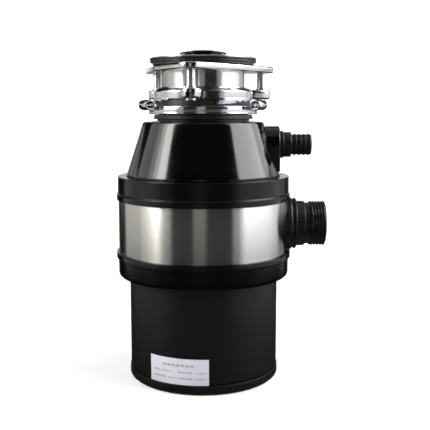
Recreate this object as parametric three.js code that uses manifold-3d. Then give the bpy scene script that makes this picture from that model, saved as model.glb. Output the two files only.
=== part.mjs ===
// Kitchen garbage disposal: a motor housing, a grinding chamber with a drain spigot, a hopper with a
// dishwasher inlet, and the clamp that hangs it all from a sink's drain hole.
// Millimetres, +Z up. The axis of rotation is x = y = 0 and the base stands on z = 0.
// Both spigots point along +X, and the front is towards -Y.

import * as THREE from "three";
import { mergeVertices } from "three/addons/utils/BufferGeometryUtils.js";
import Module from "manifold-3d";

const wasm = await Module();
wasm.setup();

// ---- Driving dimensions ---------------------------------------------------------------------------

const GAP = 0.3; // clearance between two pieces that touch
const ROUND = 24; // sides of a large round shell
const MEDIUM = 20; // sides of a spigot
const SMALL = 12; // sides of a small round piece

// Base and motor
const BASE_R = 81.1;
const BASE_H = 10;
const FLOOR_LOW = 4; // underside of the base's floor
const FLOOR_TOP = 7;
const CAN_R = 80.1;
const CAN_WALL = 1.4;
const CAN_TOP = 120;
const RESET_Y = -48; // reset button, towards the front
const GLAND_Y = 54; // cord gland, towards the back
const BOLT_CIRCLE = 70; // motor through bolts
const STATOR_R = 66;
const STATOR_LOW = 54;
const STATOR_TOP = 90;
const BORE_R = 39; // stator bore

// Middle: drain chamber, band and collars
const FRAME_TOP = 128.2; // floor of the drain chamber
const CHAMBER_R = 80;
const CHAMBER_WALL = 5;
const CHAMBER_TOP = 188.9;
const FLANGE_R = 88; // bolted flanges of the chamber and the hopper
const BAND_R = 91.3;
const BAND_WALL = 1;
const BAND_LOW = 131.3;
const BAND_TOP = 199.2;
const LOWER_COLLAR_R = 91.9;
const LOWER_COLLAR_LOW = 110.6;
const LOWER_LIP_R = 93.9;
const LOWER_LIP_TOP = 136.9;
const UPPER_LIP_R = 93;
const UPPER_LIP_LOW = 192.5;
const UPPER_LIP_TOP = 199.2;
const COLLAR_TOP = 217.2;
const SCREW_CIRCLE = 85.2;

// Grinding parts
const TURNTABLE_R = 68;
const TURNTABLE_Z = 189.6;
const PLATE_T = 3;
const PIN_RADIUS = 45; // pivot circle of the impellers
const GRIND_R = 69.5; // inside of the shredder ring
const GRIND_TOP = 213.3;

// Spigots
const DRAIN_Z = 165;
const DRAIN_END = 131;
const DRAIN_BOSS_R = 29;
const DRAIN_BOSS_END = 95;
const DRAIN_BORE = 17.5;
const INLET_Z = 250;
const INLET_BOSS_R = 19.6;
const INLET_BOSS_END = 81;
const INLET_END = 115;
const INLET_BORE = 7.5;
const INLET_START = 77;

// Hopper neck and sink mount
const SKIRT_R = 81.5;
const CONE_LOW = 219.2;
const CONE_LOW_R = 82;
const CONE_TOP = 267.4;
const CONE_TOP_R = 66.3;
const HOPPER_TOP = 274.5;
const THROAT_R = 47;
const LUG_RADIUS = 66; // circle of the locking ring's rolled lugs
const LUG_Z = 291.7;
const LUG_R = 5.5;
const LUG_LENGTH = 17;
const FLANGE_TOP = 309;
const SKIRT_LOW = 298;
const EAR_R = 10; // rounded end of each ear, about its bolt
const POST_CIRCLE = 67; // circle of the three support bolts
const POST_R = 4.5;
const SLEEVE_R = 44;
const SLEEVE_WALL = 1.6;
const PLATE_LOW = 326;
const PLATE_TOP = 332.5;
const RIM_LOW = 339.1;
const RIM_R = 56.3;

// Azimuths, in degrees from the front, positive towards +X
const POST_AZIMUTHS = [-9.5, 110.5, -129.5];
const LUG_AZIMUTHS = [-60, 60, 180];
const DIAGONALS = [45, 135, 225, 315];
const LABEL_FROM = -41.6;
const LABEL_TO = 4.6;

// ---- Looks ----------------------------------------------------------------------------------------

const LOOKS = {
  black_gloss: [0x0a0a0c, 0.15, 0],
  black_satin: [0x17171a, 0.4, 0.1],
  black_matte: [0x111112, 0.7, 0],
  rubber: [0x0c0c0c, 0.85, 0],
  brushed_steel: [0xb9b8b4, 0.35, 1],
  chrome: [0xd8dadd, 0.08, 1],
  cast_alloy: [0x9a9c9f, 0.5, 0.9],
  bright_steel: [0xa9abae, 0.3, 1],
  laminated_steel: [0x6c6e72, 0.45, 1],
  copper: [0xb4642d, 0.35, 0.9],
  red: [0xc3221c, 0.4, 0],
  label: [0xc9c9d2, 0.4, 0],
};

const disposal = new THREE.Group();

// Adds a finished solid to the group as a named mesh with its own material.
function place(name, shape, look) {
  const mesh = shape.getMesh();
  const geometry = new THREE.BufferGeometry();
  geometry.setAttribute("position", new THREE.BufferAttribute(mesh.vertProperties, 3));
  geometry.setIndex(new THREE.BufferAttribute(mesh.triVerts, 1));
  const [color, roughness, metalness] = LOOKS[look];
  const piece = new THREE.Mesh(geometry, new THREE.MeshStandardMaterial({ color, roughness, metalness }));
  piece.name = name;
  disposal.add(piece);
}

// ---- Shapes ---------------------------------------------------------------------------------------

// A closed geometry as a solid that faces out, without the zero-area triangles of a lathe's poles.
function solid(geometry) {
  geometry.deleteAttribute("normal");
  geometry.deleteAttribute("uv");
  const merged = mergeVertices(geometry, 1e-4);
  const corners = [];
  for (let i = 0; i < merged.index.count; i += 3) {
    const [a, b, c] = [merged.index.getX(i), merged.index.getX(i + 1), merged.index.getX(i + 2)];
    if (a !== b && b !== c && c !== a) corners.push([a, b, c]);
  }
  const build = (triangles) =>
    new wasm.Manifold(
      new wasm.Mesh({
        numProp: 3,
        vertProperties: merged.attributes.position.array,
        triVerts: new Uint32Array(triangles.flat()),
      }),
    );
  const made = build(corners);
  return made.volume() > 0 ? made : build(corners.map(([a, b, c]) => [a, c, b]));
}

function join(...pieces) {
  return pieces.reduce((whole, piece) => whole.add(piece));
}

function cut(body, ...tools) {
  return tools.reduce((left, tool) => left.subtract(tool), body);
}

// A closed [radius, height] outline turned about the vertical axis.
function spun(outline, sides = ROUND) {
  const points = outline.map(([r, z]) => new THREE.Vector2(r, z));
  const onAxis = outline[0][0] === 0 && outline[outline.length - 1][0] === 0;
  if (!onAxis) points.push(points[0].clone());
  return new THREE.LatheGeometry(points, sides).rotateX(Math.PI / 2);
}

function ring(inner, outer, low, top, sides = ROUND) {
  return spun([[inner, low], [outer, low], [outer, top], [inner, top]], sides);
}

function rod(radius, low, top, sides = SMALL) {
  return spun([[0, low], [radius, low], [radius, top], [0, top]], sides);
}

function block([x0, x1], [y0, y1], [z0, z1]) {
  const box = new THREE.BoxGeometry(x1 - x0, y1 - y0, z1 - z0);
  return box.translate((x0 + x1) / 2, (y0 + y1) / 2, (z0 + z1) / 2);
}

// Turns a shape drawn about the vertical axis so that its axis lies along +X at a height.
function alongX(geometry, height) {
  return geometry.rotateY(Math.PI / 2).translate(0, 0, height);
}

// Swings a shape drawn towards +X round to an azimuth counted from the front.
function atAzimuth(geometry, degrees) {
  return geometry.rotateZ(THREE.MathUtils.degToRad(degrees - 90));
}

// Four copies of an upright shape on a circle, at the diagonals.
function onCircle(geometry, radius) {
  return DIAGONALS.map((turn) => solid(atAzimuth(geometry.clone().translate(radius, 0, 0), turn)));
}

// Points of a quarter-round or other arc in an outline, angles in degrees from outwards.
function arc(r, z, radius, from, to, steps) {
  const points = [];
  for (let i = 0; i <= steps; i += 1) {
    const angle = THREE.MathUtils.degToRad(from + ((to - from) * i) / steps);
    points.push([r + radius * Math.cos(angle), z + radius * Math.sin(angle)]);
  }
  return points;
}

// A wall between two radii over a range of azimuths.
function sector(inner, outer, from, to, low, top, steps) {
  const start = THREE.MathUtils.degToRad(from - 90);
  const end = THREE.MathUtils.degToRad(to - 90);
  const outline = new THREE.Shape();
  for (let i = 0; i <= steps; i += 1) {
    const angle = start + ((end - start) * i) / steps;
    const point = [outer * Math.cos(angle), outer * Math.sin(angle)];
    if (i === 0) outline.moveTo(...point);
    else outline.lineTo(...point);
  }
  for (let i = steps; i >= 0; i -= 1) {
    const angle = start + ((end - start) * i) / steps;
    outline.lineTo(inner * Math.cos(angle), inner * Math.sin(angle));
  }
  const wall = new THREE.ExtrudeGeometry(outline, { depth: top - low, bevelEnabled: false });
  return wall.translate(0, 0, low);
}

// ---- Base -----------------------------------------------------------------------------------------

const COVER_X = -42;
const COVER_Y = 15;

function makeBase() {
  const dish = solid(
    spun([
      [9.3, 0], [15, 0], [15, FLOOR_LOW], [72, FLOOR_LOW], [74, 0], [79.3, 0],
      [BASE_R, 1.8], [BASE_R, BASE_H], [78.3, BASE_H], [78.3, FLOOR_TOP], [9.3, FLOOR_TOP],
    ]),
  );
  const resetHole = solid(rod(6, 0, 12).translate(0, RESET_Y, 0));
  const glandHole = solid(rod(11.3, 0, 12).translate(0, GLAND_Y, 0));
  const coverHole = solid(block([COVER_X - 13, COVER_X + 13], [COVER_Y - 9, COVER_Y + 9], [1, 12]));
  const screwHole = solid(rod(1.9, 1, 12, 10).translate(COVER_X + 16.5, COVER_Y, 0));
  place("base_cap", cut(dish, resetHole, glandHole, coverHole, screwHole), "black_satin");

  const plug = spun([
    [0, 0], [9, 0], [9, FLOOR_TOP + GAP], [10.6, FLOOR_TOP + GAP], [10.6, 8.6], [0, 8.6],
  ], SMALL);
  place("wrench_port_plug", solid(plug), "rubber");

  const plate = solid(
    block([COVER_X - 20, COVER_X + 20], [COVER_Y - 14, COVER_Y + 14], [2.2, FLOOR_LOW - GAP]),
  );
  const plateHole = solid(rod(1.9, 1, 12, 10).translate(COVER_X + 16.5, COVER_Y, 0));
  place("terminal_cover", cut(plate, plateHole), "brushed_steel");
  const screw = spun([[0, 0.6], [3, 0.6], [3, 1.9], [1.5, 1.9], [1.5, 9], [0, 9]], 10);
  place("terminal_cover_screw", solid(screw.translate(COVER_X + 16.5, COVER_Y, 0)), "bright_steel");
  place("terminal_block", makeTerminalBlock(), "black_matte");

  const gland = spun([
    [7, 1.2], [11, 1.2], [11, FLOOR_TOP + GAP], [14, FLOOR_TOP + GAP], [14, 9.4], [11, 9.4], [11, 14], [7, 14],
  ], SMALL);
  place("cord_gland", solid(gland.translate(0, GLAND_Y, 0)), "rubber");
}

// A moulded block with three wire bays in its top.
function makeTerminalBlock() {
  const body = solid(block([COVER_X - 17, COVER_X + 12], [COVER_Y - 8, COVER_Y + 8], [FLOOR_TOP + GAP, 20]));
  const bays = [-12, -3, 6].map((x) =>
    solid(block([COVER_X + x - 3, COVER_X + x + 3], [COVER_Y - 6, COVER_Y + 9], [12, 21])),
  );
  return cut(body, ...bays);
}

// ---- Reset button and overload protector ----------------------------------------------------------

const RESET_SHOULDER = 8.6;
const PROTECTOR_LOW = 15;

class Helix extends THREE.Curve {
  constructor(radius, low, top, turns) {
    super();
    Object.assign(this, { radius, low, top, turns });
  }

  getPoint(t, target = new THREE.Vector3()) {
    const angle = 2 * Math.PI * this.turns * t;
    const height = this.low + (this.top - this.low) * t;
    return target.set(this.radius * Math.cos(angle), this.radius * Math.sin(angle), height);
  }
}

function makeReset() {
  const cap = spun([
    [0, 0.8], [4.6, 0.8], [5.5, 1.7], [5.5, FLOOR_TOP + GAP], [7.4, FLOOR_TOP + GAP],
    [7.4, RESET_SHOULDER], [2.6, RESET_SHOULDER], [2.6, 11.5], [0, 11.5],
  ], SMALL);
  place("reset_button", solid(cap.translate(0, RESET_Y, 0)), "red");

  const wire = 0.4;
  const section = new THREE.Shape();
  for (let i = 0; i < 6; i += 1) {
    const corner = [wire * Math.cos((i * Math.PI) / 3), wire * Math.sin((i * Math.PI) / 3)];
    if (i === 0) section.moveTo(...corner);
    else section.lineTo(...corner);
  }
  const path = new Helix(4.6, RESET_SHOULDER + GAP + wire, PROTECTOR_LOW - GAP - wire, 3);
  const coil = new THREE.ExtrudeGeometry(section, { steps: 30, bevelEnabled: false, extrudePath: path });
  place("reset_spring", solid(coil.translate(0, RESET_Y, 0)), "bright_steel");

  const body = block([-13, 13], [RESET_Y - 9, RESET_Y + 9], [PROTECTOR_LOW, 27]);
  place("overload_protector", solid(body), "black_matte");
  const capacitor = rod(8.5, -22, 22).rotateX(Math.PI / 2).translate(45, 0, 17.5);
  place("start_capacitor", solid(capacitor), "cast_alloy");
}

// ---- Motor ----------------------------------------------------------------------------------------

const LOW_BEARING = [28, 35];
const HIGH_BEARING = [108, 118];
const SHAFT_THICK = 8;
const SHAFT_UPPER = 7;
const SHAFT_END = 5;

function makeStator() {
  place("motor_can", solid(ring(CAN_R - CAN_WALL, CAN_R, BASE_H + GAP, CAN_TOP)), "black_satin");

  const slots = [];
  for (let i = 0; i < 12; i += 1) {
    slots.push(solid(atAzimuth(block([BORE_R - 3, BORE_R + 14], [-3, 3], [50, 95]), 30 * i + 15)));
  }
  const stack = solid(ring(BORE_R, STATOR_R, STATOR_LOW, STATOR_TOP));
  place("stator_core", cut(stack, ...slots), "laminated_steel");

  const head = (low, top) => [
    [44, low], [57, low], [61, low + 4], [61, top - 4], [57, top], [44, top],
  ];
  place("winding_bottom", solid(spun(head(40, STATOR_LOW - GAP))), "copper");
  place("winding_top", solid(spun(head(STATOR_TOP + GAP, 104))), "copper");
}

function makeEndFrames() {
  const arms = [0, 90].map((turn) => solid(atAzimuth(block([-76, 76], [-9, 9], [31, 36]), turn + 45)));
  const hub = solid(ring(8, 16, 26, 36, SMALL));
  const seat = solid(rod(LOW_BEARING[1] - 23.7, LOW_BEARING[0] - GAP, 40));
  const shaftHole = solid(rod(8, 20, 40));
  const holes = onCircle(rod(2.8, 20, 50, 10), BOLT_CIRCLE);
  place("lower_end_frame", cut(join(...arms, hub), seat, shaftHole, ...holes), "cast_alloy");
  place("lower_bearing", solid(ring(SHAFT_END + GAP, 11, ...LOW_BEARING, SMALL)), "bright_steel");

  const bell = solid(
    spun([
      [14.3, 107], [19, 107], [19, 117], [64, 117], [64, 120.4], [CHAMBER_R, 120.4], [CHAMBER_R, FRAME_TOP],
      [12.3, FRAME_TOP], [12.3, 124], [9, 124], [9, 121], [14.3, 121],
    ]),
  );
  const lugs = onCircle(rod(7, 114, 122, 8), BOLT_CIRCLE);
  const taps = onCircle(rod(2.8, 110, 124, 8), BOLT_CIRCLE);
  place("upper_end_frame", cut(join(bell, ...lugs), ...taps), "cast_alloy");
  place("upper_bearing", solid(ring(SHAFT_UPPER + GAP, 14, ...HIGH_BEARING, SMALL)), "bright_steel");
  place("shaft_seal", solid(ring(SHAFT_UPPER + GAP, 12, 124.3, 129.4, SMALL)), "rubber");

  DIAGONALS.forEach((turn, i) => {
    const bolt = spun([[0, 27.5], [4.3, 27.5], [4.3, 30.7], [2.5, 30.7], [2.5, 121], [0, 121]], 10);
    const placed = atAzimuth(bolt.translate(BOLT_CIRCLE, 0, 0), turn);
    place(`through_bolt_${i + 1}`, solid(placed), "bright_steel");
  });
}

function makeRotor() {
  const shaft = spun([
    [0, 9.5], [SHAFT_END, 9.5], [SHAFT_END, 40], [SHAFT_THICK, 40], [SHAFT_THICK, 106],
    [SHAFT_UPPER, 106], [SHAFT_UPPER, 187], [SHAFT_END, 187], [SHAFT_END, 205], [0, 205],
  ], SMALL);
  place("rotor_shaft", solid(shaft), "bright_steel");
  const cage = spun([
    [SHAFT_THICK + GAP, 50], [36, 50], [BORE_R - 1, 52], [BORE_R - 1, 92], [36, 94], [SHAFT_THICK + GAP, 94],
  ]);
  place("rotor_core", solid(cage), "laminated_steel");
}

// ---- Grinding parts -------------------------------------------------------------------------------

function makeTurntable() {
  const top = TURNTABLE_Z + PLATE_T;
  const disc = solid(
    spun([
      [SHAFT_END + GAP, 187.3], [13, 187.3], [13, TURNTABLE_Z], [TURNTABLE_R, TURNTABLE_Z], [TURNTABLE_R, top],
      [13, top], [13, 195.6], [SHAFT_END + GAP, 195.6],
    ]),
  );
  const holes = [];
  for (let i = 0; i < 4; i += 1) {
    holes.push(solid(atAzimuth(rod(3, 180, 200, 6).translate(58, 0, 0), 90 * i + 45)));
  }
  for (const turn of [0, 180]) {
    holes.push(solid(atAzimuth(rod(3 + GAP, 180, 200, 12).translate(PIN_RADIUS, 0, 0), turn)));
  }
  place("turntable", cut(disc, ...holes), "bright_steel");
  const nut = solid(rod(9, 195.9, 202, 6));
  place("turntable_nut", cut(nut, solid(rod(SHAFT_END + GAP, 190, 210))), "bright_steel");
}

// A swivel lug: a flat arm on its rivet with an upright hammer at the outer end.
function makeImpeller(number, turn) {
  const low = TURNTABLE_Z + PLATE_T + GAP;
  const arm = solid(block([-7, 19], [-7, 7], [low, low + 3]));
  const hammer = solid(block([13, 19], [-7, 7], [low, low + 14]));
  const eye = solid(rod(7, low, low + 3, 12));
  const bore = solid(rod(3 + GAP, low - 5, low + 8, 12));
  const lug = cut(join(arm, hammer, eye), bore);
  const angle = THREE.MathUtils.degToRad(turn - 90);
  const moved = lug.getMesh();
  const geometry = new THREE.BufferGeometry();
  geometry.setAttribute("position", new THREE.BufferAttribute(moved.vertProperties, 3));
  geometry.setIndex(new THREE.BufferAttribute(moved.triVerts, 1));
  geometry.translate(PIN_RADIUS, 0, 0).rotateZ(angle);
  place(`impeller_${number}`, solid(geometry), "bright_steel");

  const rivet = spun([
    [0, 187], [5, 187], [5, TURNTABLE_Z - GAP], [3, TURNTABLE_Z - GAP], [3, low + 3 + GAP],
    [5.2, low + 3 + GAP], [4.4, low + 6], [0, low + 6],
  ], 12);
  place(`impeller_pin_${number}`, solid(atAzimuth(rivet.translate(PIN_RADIUS, 0, 0), turn)), "bright_steel");
}

function makeShredderRing() {
  const teeth = [];
  for (let i = 0; i < 12; i += 1) {
    teeth.push(solid(atAzimuth(block([GRIND_R - 3, GRIND_R + 2.6], [-2, 2], [180, 208]), 30 * i + 6)));
  }
  const band = solid(ring(GRIND_R, 76.3, CHAMBER_TOP + GAP, GRIND_TOP));
  place("shredder_ring", cut(band, ...teeth), "bright_steel");
}

// ---- Drain chamber and spigot ---------------------------------------------------------------------

function makeDrainChamber() {
  const low = FRAME_TOP + 2;
  const wall = solid(
    spun([
      [CHAMBER_R - CHAMBER_WALL, low], [CHAMBER_R, low], [CHAMBER_R, 183], [FLANGE_R, 185],
      [FLANGE_R, CHAMBER_TOP], [CHAMBER_R - CHAMBER_WALL, CHAMBER_TOP],
    ]),
  );
  const neck = solid(alongX(rod(23.3, 72, 83, MEDIUM), DRAIN_Z));
  const pad = solid(
    alongX(
      spun([
        [0, 82], [DRAIN_BOSS_R, 82], [DRAIN_BOSS_R, 94.2], [DRAIN_BOSS_R - 0.8, DRAIN_BOSS_END],
        [0, DRAIN_BOSS_END],
      ]),
      DRAIN_Z,
    ),
  );
  const flangeGap = solid(alongX(rod(DRAIN_BOSS_R + 0.4, 80.4, 100, ROUND), DRAIN_Z));
  const bore = solid(alongX(rod(21, 60, 100, MEDIUM), DRAIN_Z));
  const holes = onCircle(rod(2.1, 180, 195, 10), SCREW_CIRCLE);
  place("drain_chamber", cut(join(cut(wall, flangeGap), neck, pad), bore, ...holes), "black_matte");
  place("chamber_seal", solid(ring(75.6, 79.6, FRAME_TOP + GAP, low - GAP)), "rubber");
}

function makeDrainOutlet() {
  place("outlet_gasket", solid(alongX(ring(21.4, 26.4, 95.3, 96.6, MEDIUM), DRAIN_Z)), "rubber");
  const spigot = spun([
    [DRAIN_BORE, 78], [20.6, 78], [20.6, 96.9], [27.5, 96.9], [27.5, 99.1], [26.8, 99.7], [24.2, 99.7],
    [24.2, 108.4], [22.3, 109], [22.3, 113.4], [23.9, 114.2], [23.9, 130.3], [23.2, DRAIN_END],
    [DRAIN_BORE, DRAIN_END],
  ], MEDIUM);
  place("drain_outlet", solid(alongX(spigot, DRAIN_Z)), "black_gloss");
}

// ---- Hopper and dishwasher inlet ------------------------------------------------------------------

const HOPPER_LOW = 190.8;

function makeHopper() {
  const shell = solid(
    spun([
      [76.6, HOPPER_LOW], [FLANGE_R, HOPPER_LOW], [FLANGE_R, 195], [SKIRT_R, 195], [SKIRT_R, 213.5],
      [CONE_LOW_R, 214.5], [CONE_LOW_R, CONE_LOW], [CONE_TOP_R, CONE_TOP], [65, 271.4], [63.8, 273.8],
      [61.8, HOPPER_TOP], [THROAT_R, HOPPER_TOP], [THROAT_R, 271.5], [59, 271.5], [62.4, 269],
      [77.7, 222], [73.6, 215.6], [73.6, GRIND_TOP + GAP], [76.6, GRIND_TOP + GAP],
    ]),
  );
  const boss = solid(
    alongX(
      spun([
        [0, 52], [INLET_BOSS_R, 52], [INLET_BOSS_R, 80], [INLET_BOSS_R - 1, INLET_BOSS_END],
        [0, INLET_BOSS_END],
      ], MEDIUM),
      INLET_Z,
    ),
  );
  const footHalf = INLET_BOSS_R - 0.3;
  const foot = solid(block([52, INLET_BOSS_END], [-footHalf, footHalf], [226, INLET_Z]));
  const hollow = solid(
    spun([[0, 216], [77.6, 222], [62.3, 269], [59, 271.4], [0, 271.4]]),
  );
  const bore = solid(alongX(rod(INLET_BORE, 40, 90, SMALL), INLET_Z));
  const pocket = solid(alongX(rod(11.3, INLET_START - 0.4, 90, SMALL), INLET_Z));
  const seat = solid(alongX(rod(13.6, 79.2, 90, SMALL), INLET_Z));
  const padGap = solid(alongX(rod(DRAIN_BOSS_R + 0.6, 81.8, 100, ROUND), DRAIN_Z));
  const holes = onCircle(rod(2.1, 188, 197, 10), SCREW_CIRCLE);
  const cast = join(shell, cut(join(boss, foot), hollow));
  place("hopper_shell", cut(cast, bore, pocket, seat, padGap, ...holes), "black_gloss");
  place("hopper_seal", solid(ring(76.8, 80.5, CHAMBER_TOP + GAP, HOPPER_LOW - GAP)), "rubber");

  DIAGONALS.forEach((turn, i) => {
    const screw = spun([[0, 181], [1.8, 181], [1.8, 195.3], [2.8, 195.3], [2.8, 197.6], [0, 198]], 10);
    const placed = atAzimuth(screw.translate(SCREW_CIRCLE, 0, 0), turn);
    place(`hopper_screw_${i + 1}`, solid(placed), "bright_steel");
  });
}

function makeDishwasherInlet() {
  place("inlet_seal", solid(alongX(ring(11.3, 13.2, 79.5, INLET_BOSS_END, SMALL), INLET_Z)), "rubber");
  const barbs = [];
  for (let i = 0; i < 3; i += 1) {
    const start = 96 + 6 * i;
    barbs.push([10.4, start], [11.3, start + 1.2]);
  }
  const spigot = spun([
    [INLET_BORE, INLET_START], [11, INLET_START], [11, 81.3], [14.4, 81.3], [14.4, 85], [13.2, 85.3],
    [13.2, 92.9], [12.6, 93.5], [10.4, 93.5], ...barbs, [10.4, INLET_END], [INLET_BORE, INLET_END],
  ], SMALL);
  place("dishwasher_inlet", solid(alongX(spigot, INLET_Z)), "black_gloss");
}

// ---- Band and collars -----------------------------------------------------------------------------

function makeTrim() {
  const padGap = () => solid(alongX(rod(DRAIN_BOSS_R + 0.6, 70, 100, ROUND), DRAIN_Z));
  const band = solid(ring(BAND_R - BAND_WALL, BAND_R, BAND_LOW, BAND_TOP));
  place("trim_band", cut(band, padGap()), "brushed_steel");

  const lower = solid(
    spun([
      [80.5, LOWER_COLLAR_LOW], ...arc(LOWER_COLLAR_R - 2.8, LOWER_COLLAR_LOW + 2.8, 2.8, -90, 0, 2),
      [LOWER_COLLAR_R, 129.6], [LOWER_LIP_R, 130.4], [LOWER_LIP_R, LOWER_LIP_TOP - 0.8], [93.2, LOWER_LIP_TOP],
      [BAND_R + GAP, LOWER_LIP_TOP], [BAND_R + GAP, 131], [88.6, 131],
      [88.6, LOWER_COLLAR_LOW + 3], [80.5, LOWER_COLLAR_LOW + 3],
    ]),
  );
  place("lower_collar", cut(lower, padGap()), "black_gloss");

  const upper = solid(
    spun([
      [BAND_R + GAP, UPPER_LIP_LOW], [92.4, UPPER_LIP_LOW], [UPPER_LIP_R, UPPER_LIP_LOW + 0.6],
      [UPPER_LIP_R, UPPER_LIP_TOP], ...arc(BAND_R + GAP - 2.6, COLLAR_TOP - 2.6, 2.6, 0, 90, 2),
      [82.5, COLLAR_TOP], [82.5, COLLAR_TOP - 2.3], [88.7, COLLAR_TOP - 3.3],
      [88.7, BAND_TOP + GAP], [BAND_R + GAP, BAND_TOP + GAP],
    ]),
  );
  place("upper_collar", cut(upper, padGap()), "black_gloss");

  const label = sector(CAN_R + GAP, CAN_R + 0.7, LABEL_FROM, LABEL_TO, BASE_H + 0.6, 38, 8);
  place("rating_label", solid(label), "label");
}

// ---- Sink mount -----------------------------------------------------------------------------------

// The rubber mount and splash guard: a collar round the throat with a slit baffle inside it.
function makeMountingGasket() {
  const body = solid(
    spun([
      [43.7, 268.5], [46.7, 268.5], [46.7, HOPPER_TOP + GAP], [49, HOPPER_TOP + GAP], [49, 277],
      [52.9, 277.3], [52.9, 281.7], [47.2, 281.7], [47.2, 284.6], [50, 284.6], [50, 297.6],
      [44.5, 297.6], [44.5, 283], [13, 274], [13, 272], [42.4, 279.6], [43.7, 278],
    ]),
  );
  const slits = [];
  for (let i = 0; i < 6; i += 1) {
    slits.push(solid(atAzimuth(block([10, 36], [-0.6, 0.6], [260, 290]), 60 * i)));
  }
  place("mounting_gasket", cut(body, ...slits), "rubber");
}

// The ring that turns to lock the body on, with three rolled lugs for a lever.
function makeLockingRing() {
  let body = solid(
    spun([
      [47.8, 282.2], [56.8, 282.2], [58, 283.2], [58, 290.4], [56.4, 290.4], [56.4, 284.2], [47.8, 284.2],
    ]),
  );
  const tube = new THREE.Shape();
  tube.absarc(0, 0, LUG_R, 0, 2 * Math.PI, false);
  const hole = new THREE.Path();
  hole.absarc(0, 0, LUG_R - 1.8, 0, 2 * Math.PI, true);
  tube.holes.push(hole);
  for (const azimuth of LUG_AZIMUTHS) {
    const settings = { depth: LUG_LENGTH, bevelEnabled: false, curveSegments: 7 };
    const roll = new THREE.ExtrudeGeometry(tube, settings);
    roll.translate(0, 0, -LUG_LENGTH / 2).rotateX(Math.PI / 2).translate(LUG_RADIUS, 0, LUG_Z);
    const half = LUG_LENGTH / 2 - 0.5;
    const strap = block([57, LUG_RADIUS], [-half, half], [LUG_Z - LUG_R, LUG_Z - LUG_R + 1.8]);
    body = join(body, solid(atAzimuth(strap, azimuth)), solid(atAzimuth(roll, azimuth)));
  }
  place("locking_ring", body, "chrome");
}

// The domed flange with a hollow ear round each support bolt.
function makeMountingFlange() {
  let body = solid(
    spun([
      [SLEEVE_R + 0.4, 307.2], [SLEEVE_R + 0.4, 310], [45.6, 310], [46, FLANGE_TOP],
      ...arc(49.3, FLANGE_TOP - 3, 3, 90, 0, 2), [52.3, SKIRT_LOW], [50.7, SKIRT_LOW],
      [50.7, 305.6], [49.2, 307.2],
    ]),
  );
  for (const azimuth of POST_AZIMUTHS) {
    const ear = block([51.2, POST_CIRCLE], [-EAR_R, EAR_R], [SKIRT_LOW, FLANGE_TOP - 1]);
    const end = rod(EAR_R, SKIRT_LOW, FLANGE_TOP - 1, MEDIUM).translate(POST_CIRCLE, 0, 0);
    const boss = rod(5.8, FLANGE_TOP - 2, FLANGE_TOP + 0.6).translate(POST_CIRCLE, 0, 0);
    const hollow = EAR_R - 1.8;
    const cavity = block([53.4, POST_CIRCLE], [-hollow, hollow], [290, FLANGE_TOP - 2.8]);
    const round = rod(hollow, 290, FLANGE_TOP - 2.8, MEDIUM).translate(POST_CIRCLE, 0, 0);
    const window = block([POST_CIRCLE + 6, POST_CIRCLE + 12], [-3.25, 3.25], [290, SKIRT_LOW + 6]);
    const bore = rod(POST_R + GAP, 300, 315).translate(POST_CIRCLE, 0, 0);
    const inside = rod(50.7, 290, 305.6, ROUND);
    const shell = cut(
      join(solid(atAzimuth(ear, azimuth)), solid(atAzimuth(end, azimuth)), solid(atAzimuth(boss, azimuth))),
      solid(atAzimuth(cavity, azimuth)),
      solid(atAzimuth(round, azimuth)),
      solid(atAzimuth(window, azimuth)),
      solid(atAzimuth(bore, azimuth)),
      solid(inside),
    );
    body = join(body, shell);
  }
  for (const azimuth of LUG_AZIMUTHS) {
    body = join(body, solid(sector(50.75, 52.25, azimuth - 20, azimuth + 20, 293, SKIRT_LOW + 1, 5)));
  }
  place("mounting_flange", body, "chrome");
}

function makeSupportBolts() {
  POST_AZIMUTHS.forEach((azimuth, i) => {
    const bolt = spun([
      [0, 294.7], [3.6, 294.7], [5.3, 296], [5.3, 299], [POST_R, 299.4], [POST_R, PLATE_LOW - GAP],
      [2.6, PLATE_LOW - GAP], [2.6, 330.6], [0, 330.6],
    ], SMALL);
    place(`support_bolt_${i + 1}`, solid(atAzimuth(bolt.translate(POST_CIRCLE, 0, 0), azimuth)), "chrome");
  });
}

// A rounded three-pointed plate: tangents run from a middle circle to the eye round each bolt.
function makeClampPlate() {
  const middle = 53;
  const eye = 13;
  let body = solid(rod(middle, PLATE_LOW, PLATE_TOP, ROUND));
  const lean = Math.acos((middle - eye) / POST_CIRCLE);
  for (const azimuth of POST_AZIMUTHS) {
    const web = new THREE.Shape();
    web.moveTo(0, 0);
    web.lineTo(middle * Math.cos(lean), -middle * Math.sin(lean));
    web.lineTo(POST_CIRCLE + eye * Math.cos(lean), -eye * Math.sin(lean));
    web.lineTo(POST_CIRCLE + eye * Math.cos(lean), eye * Math.sin(lean));
    web.lineTo(middle * Math.cos(lean), middle * Math.sin(lean));
    const sheet = new THREE.ExtrudeGeometry(web, { depth: PLATE_TOP - PLATE_LOW, bevelEnabled: false });
    sheet.translate(0, 0, PLATE_LOW);
    const end = rod(eye, PLATE_LOW, PLATE_TOP).translate(POST_CIRCLE, 0, 0);
    body = join(body, solid(atAzimuth(sheet, azimuth)), solid(atAzimuth(end, azimuth)));
  }
  for (const azimuth of POST_AZIMUTHS) {
    const socket = rod(2.9, PLATE_LOW - 5, PLATE_TOP - 1.4).translate(POST_CIRCLE, 0, 0);
    body = cut(body, solid(atAzimuth(socket, azimuth)));
  }
  place("clamp_plate", cut(body, solid(rod(SLEEVE_R + 0.5, 320, 340, ROUND))), "chrome");
}

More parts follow.
